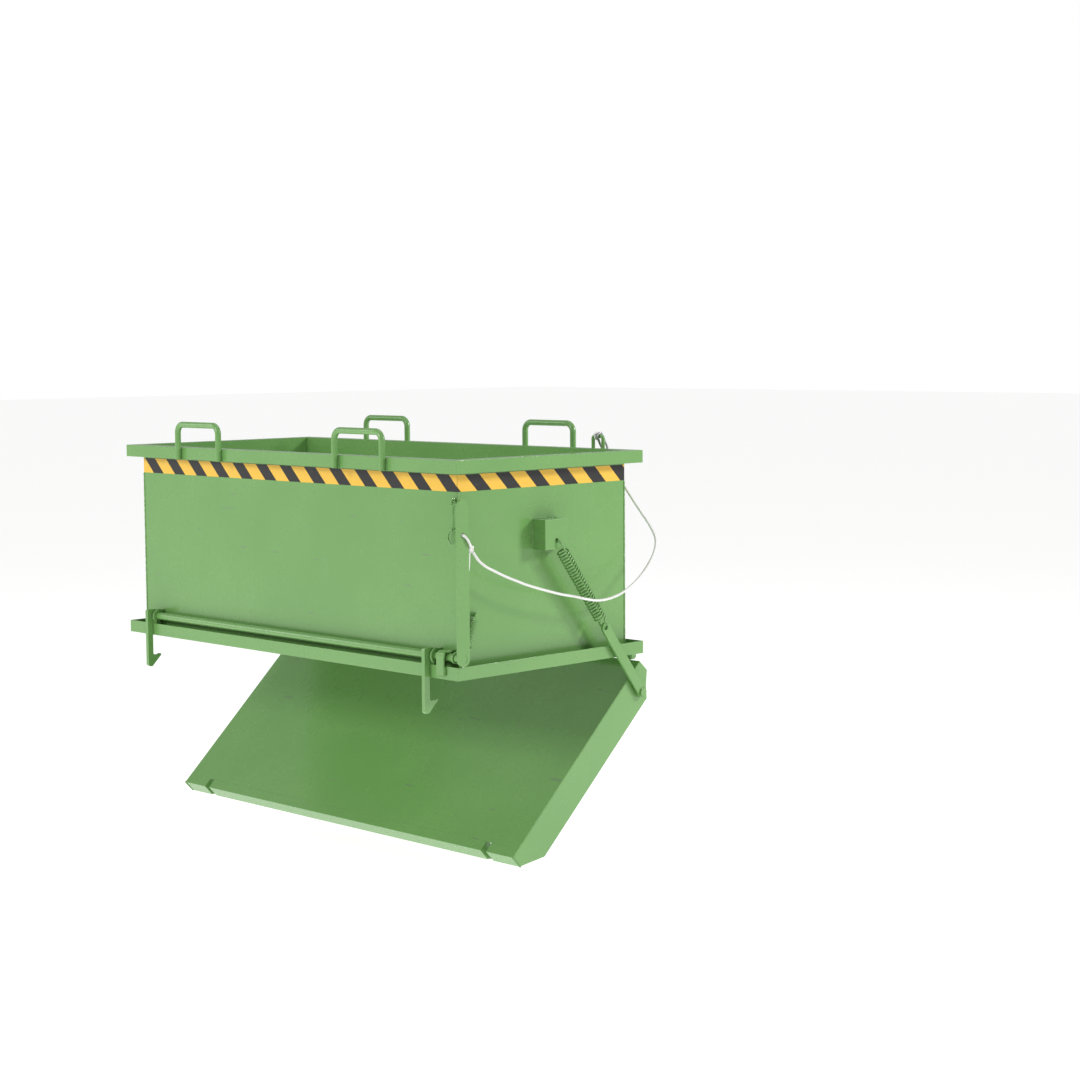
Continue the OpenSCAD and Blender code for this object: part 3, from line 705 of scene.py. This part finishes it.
def ringLine(r, at, first, last, steps=28):  # an end ring, from one angle to another
    angles = [math.radians(first + (last - first) * i / steps) for i in range(steps + 1)]
    return [Vector((r * math.cos(a), at + r * math.sin(a), 0.0)) for a in angles]


def coilLine(setup, long):  # the turns between the end rings, along +Y
    r, perTurn = setup["coil"], setup["perTurn"]
    start, stop = r * setup["lead"], long - r * setup["lead"]
    count = setup["turns"] * perTurn
    angles = [setup["from"] - 2 * math.pi * i / perTurn for i in range(count + 1)]
    return [Vector((r * math.cos(a), start + (stop - start) * i / count, r * math.sin(a)))
            for i, a in enumerate(angles)]


def springTree():
    tree, g, given = newTree("springWire", {
        "Wire Radius": ("NodeSocketFloat", mainSpring["wire"]),
        "Sides": ("NodeSocketInt", mainSpring["sides"]),
        "Material": ("NodeSocketMaterial", None)})
    profile = g.add("GeometryNodeCurvePrimitiveCircle", None,
                    {"Resolution": given["Sides"], "Radius": given["Wire Radius"]})
    swept = g.add("GeometryNodeCurveToMesh", None,
                  {"Curve": given["Geometry"], "Profile Curve": profile, "Fill Caps": True})
    closeTree(g, g.add("GeometryNodeSetShadeSmooth", None, {"Geometry": swept}), given["Material"])
    return tree


wireTree = springTree()


def makeSpring(name, setup, line, end, side=1):  # lays the line between its eyes and grows wire on it
    start = setup["anchor"]
    way = Vector((0, end[0] - start[0], end[1] - start[1]))
    turn = Matrix.Rotation(math.atan2(way.z, way.y), 4, "X")
    place = (Matrix.Diagonal((side, 1, 1, 1)) @ Matrix.Translation((setup["x"], start[0], start[1]))
             @ turn @ Matrix.Translation((0, setup["first"], 0)))
    piece = grow(name, lineHolder(name, [[place @ p for p in line]]), wireTree,
                 {"Wire Radius": setup["wire"], "Sides": setup["sides"], "Material": green})
    if side < 0:
        piece.data.flip_normals()
    return piece


def mainSprings():  # the upper hook and the turns below it are made as two separate pieces
    setup = mainSpring
    anchor, pin = Vector((0, *setup["anchor"])), Vector((0, *setup["pin"]))
    pull = (pin - anchor).normalized()
    top = pin - pull * setup["link"]
    r = setup["coil"]
    long = (top - anchor).length - setup["first"] - setup["last"]
    coil = coilLine(setup, long)
    hook = ringLine(r, 0.0, *ringEnds["hook"]) + coil[:1]
    below = coil + ringLine(r, long, *ringEnds["eye"])
    for side, name in ((1, "Right"), (-1, "Left")):
        upper = makeSpring("springHook" + name, setup, hook, (top.y, top.z), side)
        turns = makeSpring("mainSpring" + name, setup, below, (top.y, top.z), side)
        for piece in (upper, turns):
            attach(piece, "spring_" + name.lower())
        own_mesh(turns)
        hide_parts("main_spring_" + name.lower())


def lockSpring():  # its first ring lies flat round the peg
    setup = backSpring
    r, end = setup["coil"], setup["armEye"]
    long = math.dist(setup["anchor"], end) - setup["last"]
    angles = [math.radians(setup["ringFrom"] + setup["ringStep"] * i) for i in range(setup["ringCount"])]
    ring = [Vector((0.0, setup["ring"] * math.cos(a), setup["ring"] * math.sin(a))) for a in angles]
    line = ring + coilLine(setup, long) + ringLine(r, long, *ringEnds["eye"])
    piece = makeSpring("returnSpring", setup, line, end)
    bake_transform(piece)
    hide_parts("return_spring")


mainSprings()
lockSpring()
print("springs wound")


chainLow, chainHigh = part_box("safety_chain")
chainSetup = {"links": 20, "pitch": 0.019, "inner": 0.020, "width": 0.009, "wire": 0.005,
              "sway": 0.12, "seed": 7}
chainSetup["start"] = ((chainLow.x + chainHigh.x) / 2, (chainLow.y + chainHigh.y) / 2,
                       chainHigh.z - chainSetup["inner"] / 2 - chainSetup["wire"])


def chainTree():
    tree, g, given = newTree("linkedChain", {
        "Links": ("NodeSocketInt", chainSetup["links"]),
        "Pitch": ("NodeSocketFloat", chainSetup["pitch"]),
        "Inner Length": ("NodeSocketFloat", chainSetup["inner"]),
        "Inner Width": ("NodeSocketFloat", chainSetup["width"]),
        "Wire": ("NodeSocketFloat", chainSetup["wire"]),
        "Material": ("NodeSocketMaterial", None)})
    wire = given["Wire"]
    outline = g.add("GeometryNodeCurvePrimitiveQuadrilateral", None,
                    {"Width": given["Inner Width"] + wire, "Height": given["Inner Length"] + wire})
    rounded = g.add("GeometryNodeFilletCurve", {"mode": "POLY"},
                    {"Curve": outline, "Radius": (given["Inner Width"] + wire) * 0.499, "Count": 6})
    profile = g.add("GeometryNodeCurvePrimitiveCircle", None, {"Resolution": 8, "Radius": wire * 0.5})
    link = g.add("GeometryNodeCurveToMesh", None, {"Curve": rounded, "Profile Curve": profile})
    upright = g.add("GeometryNodeTransform", None, {"Geometry": link, "Rotation": (math.pi / 2, 0.0, 0.0)})
    smooth = g.add("GeometryNodeSetShadeSmooth", None, {"Geometry": upright})
    drop = g.add("ShaderNodeCombineXYZ", None, {2: given["Pitch"] * -1.0})
    row = g.add("GeometryNodeMeshLine", {"mode": "OFFSET"},
                {"Count": given["Links"], "Start Location": chainSetup["start"], "Offset": drop})
    index = g.add("GeometryNodeInputIndex")
    sway = g.add("FunctionNodeRandomValue", {"data_type": "FLOAT"},
                 {2: -chainSetup["sway"], 3: chainSetup["sway"], "Seed": chainSetup["seed"]}, 1)
    turn = g.add("ShaderNodeCombineXYZ", None,
                 {2: g.run("MODULO", index, 2.0) * (math.pi / 2) + sway})
    chain = g.add("GeometryNodeInstanceOnPoints", None,
                  {"Points": row, "Instance": smooth, "Rotation": turn})
    closeTree(g, chain, given["Material"])
    return tree


def makeChain():
    setup = chainSetup
    holder = lineHolder("chainHolder", [[(0, 0, 0), (0, 0, -0.1)]])
    chain = grow("safetyChain", holder, chainTree(),
                 {"Links": setup["links"], "Pitch": setup["pitch"], "Inner Length": setup["inner"],
                  "Inner Width": setup["width"], "Wire": setup["wire"], "Material": zinc})
    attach(chain, "container")
    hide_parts("safety_chain")


makeChain()
print("chain linked")


weldSetup = {"width": 0.0035, "step": 0.0036, "height": 0.6, "seed": 11,
             "least": 0.82, "most": 1.12,   # size of a bead
             "tilt": 0.4}                   # radians it may lean


def weldTree():
    tree, g, given = newTree("weldBeads", {
        "Bead": ("NodeSocketFloat", weldSetup["width"]),
        "Step": ("NodeSocketFloat", weldSetup["step"]),
        "Flatness": ("NodeSocketFloat", weldSetup["height"]),
        "Seed": ("NodeSocketInt", weldSetup["seed"]),
        "Material": ("NodeSocketMaterial", None)})
    spaced = g.add("GeometryNodeResampleCurve", {"mode": "LENGTH"},
                   {"Curve": given["Geometry"], "Length": given["Step"]})
    drop = g.add("GeometryNodeMeshUVSphere", None, {"Segments": 8, "Rings": 5, "Radius": given["Bead"]})
    smooth = g.add("GeometryNodeSetShadeSmooth", None, {"Geometry": drop})
    size = g.add("FunctionNodeRandomValue", {"data_type": "FLOAT"},
                 {2: weldSetup["least"], 3: weldSetup["most"], "Seed": given["Seed"]}, 1)
    tilt = weldSetup["tilt"]
    turn = g.add("FunctionNodeRandomValue", {"data_type": "FLOAT_VECTOR"},
                 {0: (-tilt, -tilt, -tilt), 1: (tilt, tilt, tilt), "Seed": given["Seed"]}, 0)
    scale = g.add("ShaderNodeCombineXYZ", None, {0: size, 1: size, 2: size * given["Flatness"] + 0.2})
    beads = g.add("GeometryNodeInstanceOnPoints", None,
                  {"Points": spaced, "Instance": smooth, "Rotation": turn, "Scale": scale})
    closeTree(g, beads, given["Material"])
    return tree


beadTree = weldTree()


def makeWelds(name, body, lines):
    piece = grow(name, lineHolder(name, [[Vector(p) for p in line] for line in lines]), beadTree,
                 {"Bead": weldSetup["width"], "Step": weldSetup["step"], "Flatness": weldSetup["height"],
                  "Seed": weldSetup["seed"], "Material": green})
    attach(piece, body)
    return piece


hingeSpots = (-0.77, -0.25667, 0.25667, 0.77)
weldPlaces = {
    "bails": {"x": 0.411, "leg": 0.112, "off": 0.008, "y": 0.404, "from": -0.003, "to": -0.039},
    "brackets": {"x": 0.8, "y": 0.050, "low": -0.285, "top": -0.196},
    "chainEye": {"legs": (0.619, 0.663), "off": 0.005, "y": 0.404, "from": -0.004, "to": -0.036},
    "hinges": {"faces": (0.0064, 0.0144), "y": 0.404, "from": -0.650, "to": -0.617},
    "bearings": {"faces": (-0.701, -0.693, 0.723, 0.731), "z": -0.646, "from": -0.363, "to": -0.399},
    "keeper": {"faces": (0.755, 0.788), "y": -0.4075, "from": -0.638, "to": -0.616},
    "corners": {"x": 0.7995, "y": 0.3615, "from": -0.100, "to": -0.646},
    "peg": {"x": 0.8, "r": 0.007, "points": 26, "perRadian": 4},
}


def upright(x, y, setup):
    return [(x, y, setup["from"]), (x, y, setup["to"])]


def containerWelds():
    lines = []
    bails = weldPlaces["bails"]              # both sides of every bail leg
    for bailX in (-bails["x"], bails["x"]):
        for legX in (bailX - bails["leg"], bailX + bails["leg"]):
            for side in (-1, 1):
                for y in (-bails["y"], bails["y"]):
                    lines.append(upright(legX + side * bails["off"], y, bails))
    brackets = weldPlaces["brackets"]        # round the springs' brackets
    y, low, top = brackets["y"], brackets["low"], brackets["top"]
    for side in (-1, 1):
        x = side * brackets["x"]
        lines.append([(x, -y, low), (x, -y, top), (x, y, top), (x, y, low)])
    chainEye = weldPlaces["chainEye"]        # legs of the chain's eye
    for legX in chainEye["legs"]:
        for side in (-1, 1):
            lines.append(upright(legX + side * chainEye["off"], chainEye["y"], chainEye))
    hinges = weldPlaces["hinges"]            # hinge plates on the rear rim
    for hingeX in hingeSpots:
        for side in (-1, 1):
            for face in hinges["faces"]:
                lines.append(upright(hingeX + side * face, hinges["y"], hinges))
    bearings = weldPlaces["bearings"]        # bearings of the lock shaft
    for x in bearings["faces"]:
        lines.append([(x, bearings["from"], bearings["z"]), (x, bearings["to"], bearings["z"])])
    keeper = weldPlaces["keeper"]            # shaft keeper on the front rim
    for x in keeper["faces"]:
        lines.append(upright(x, keeper["y"], keeper))
    corners = weldPlaces["corners"]          # upright corners of the walls, just showing
    for sx in (-1, 1):
        for sy in (-1, 1):
            lines.append(upright(sx * corners["x"], sy * corners["y"], corners))
    peg = weldPlaces["peg"]
    pegY, pegZ = backSpring["anchor"]
    turns = [k / peg["perRadian"] for k in range(peg["points"])]
    lines.append([(peg["x"], pegY + peg["r"] * math.sin(a), pegZ + peg["r"] * math.cos(a)) for a in turns])
    return lines


hinge = {"y": 0.416, "z": -0.667, "open": 43.3}
flapPlaces = {   # on the shut flap
    "under": -0.6575,
    "ribs": {"half": 0.842, "gaps": 5, "off": 0.0035,
             "from": -0.37, "every": 0.105, "count": 7, "long": 0.035},
    "cheeks": {"x": 0.8385, "from": -0.385, "every": 0.085, "count": 9, "long": 0.03},
    "front": {"x": 0.8415, "y": -0.4005, "from": -0.6555, "to": -0.7015},
    "ears": {"off": 0.0065, "from": 0.330, "every": 0.0, "count": 1, "long": 0.056},
}


def opened(x, y, z):  # a point of the shut flap, let down to where it hangs
    a = math.radians(hinge["open"])
    dy, dz = y - hinge["y"], z - hinge["z"]
    return (x, hinge["y"] + dy * math.cos(a) - dz * math.sin(a),
            hinge["z"] + dy * math.sin(a) + dz * math.cos(a))


def stitches(x, setup):  # a row of short welds along the flap's underside
    starts = [setup["from"] + k * setup["every"] for k in range(setup["count"])]
    under = flapPlaces["under"]
    return [[opened(x, y, under), opened(x, y + setup["long"], under)] for y in starts]


def flapWelds():
    lines = []
    ribs, cheeks, front, ears = (flapPlaces[k] for k in ("ribs", "cheeks", "front", "ears"))
    for i in (-1.5, -0.5, 0.5, 1.5):
        for side in (-1, 1):
            lines += stitches(i * 2 * ribs["half"] / ribs["gaps"] + side * ribs["off"], ribs)
    for side in (-1, 1):                     # inside corners of the cheeks, then their front ends
        lines += stitches(side * cheeks["x"], cheeks)
        lines.append([opened(*p) for p in upright(side * front["x"], front["y"], front)])
    for hingeX in hingeSpots:
        for side in (-1, 1):
            lines += stitches(hingeX + side * ears["off"], ears)
    return lines


makeWelds("weldsContainer", "container", containerWelds())
makeWelds("weldsFlap", "flap", flapWelds())
print("welds laid")


floorSetup = {"z": -1.42, "reach": 60.0, "lift": 0.55,
              "colour": srgb(250, 250, 249), "cloud": srgb(244, 244, 243)}


def makeFloor():
    material, g = newMaterial("paleFloor")
    cloud = g.noise(g.place(), 3.0, 3.0)
    colour = g.mixColour(cloud * 0.3, floorSetup["colour"], floorSetup["cloud"])
    finishMaterial(g, {"Base Color": colour, "Roughness": cloud * 0.1 + 0.75,
                       "Emission Color": (1, 1, 1, 1), "Emission Strength": floorSetup["lift"]})
    r, z = floorSetup["reach"], floorSetup["z"]
    corners = [(-r, -r, z), (r, -r, z), (r, r, z), (-r, r, z)]
    floor = meshObject("floor", corners, [(0, 1, 2, 3)], material, smooth=False)


lightSetup = {
    "dome": 0.42, "backdrop": 1.0,
    "areas": (   # place, aimed at, width, height, watts
        ((-0.8, -5.6, 2.2), (0.1, -0.3, -0.4), 1.8, 1.4, 115.0),
        ((-4.5, -3.5, 1.6), (-0.4, -0.2, -0.5), 1.5, 2.5, 40.0),
        ((4.4, 3.4, 2.1), (0.8, 0.0, -0.4), 1.0, 1.0, 175.0),
        ((0.0, 0.0, 4.5), (0.0, 0.0, -0.4), 3.5, 3.5, 45.0)),
}


def makeLight():
    world = bpy.data.worlds.new("studio")
    world.use_nodes = True
    g = Graph(world.node_tree)
    seen = g.add("ShaderNodeLightPath")
    soft = g.add("ShaderNodeBackground", None, {"Color": (1, 1, 1, 1), "Strength": lightSetup["dome"]})
    white = g.add("ShaderNodeBackground", None, {"Color": (1, 1, 1, 1), "Strength": lightSetup["backdrop"]})
    mixed = g.add("ShaderNodeMixShader", None, {0: seen, 1: soft, 2: white})
    g.add("ShaderNodeOutputWorld", None, {"Surface": mixed})
    scene.world = world
    for i, (place, target, wide, high, watts) in enumerate(lightSetup["areas"]):
        data = bpy.data.lights.new("softBox" + str(i), "AREA")
        data.shape = "RECTANGLE"
        data.size, data.size_y, data.energy = wide, high, watts
        box = bpy.data.objects.new("softBox" + str(i), data)
        box.location = place
        box.rotation_euler = (Vector(target) - Vector(place)).to_track_quat("-Z", "Y").to_euler()
        scene.collection.objects.link(box)
    scene.view_settings.view_transform = "Standard"


makeFloor()
makeLight()
print("studio lit")
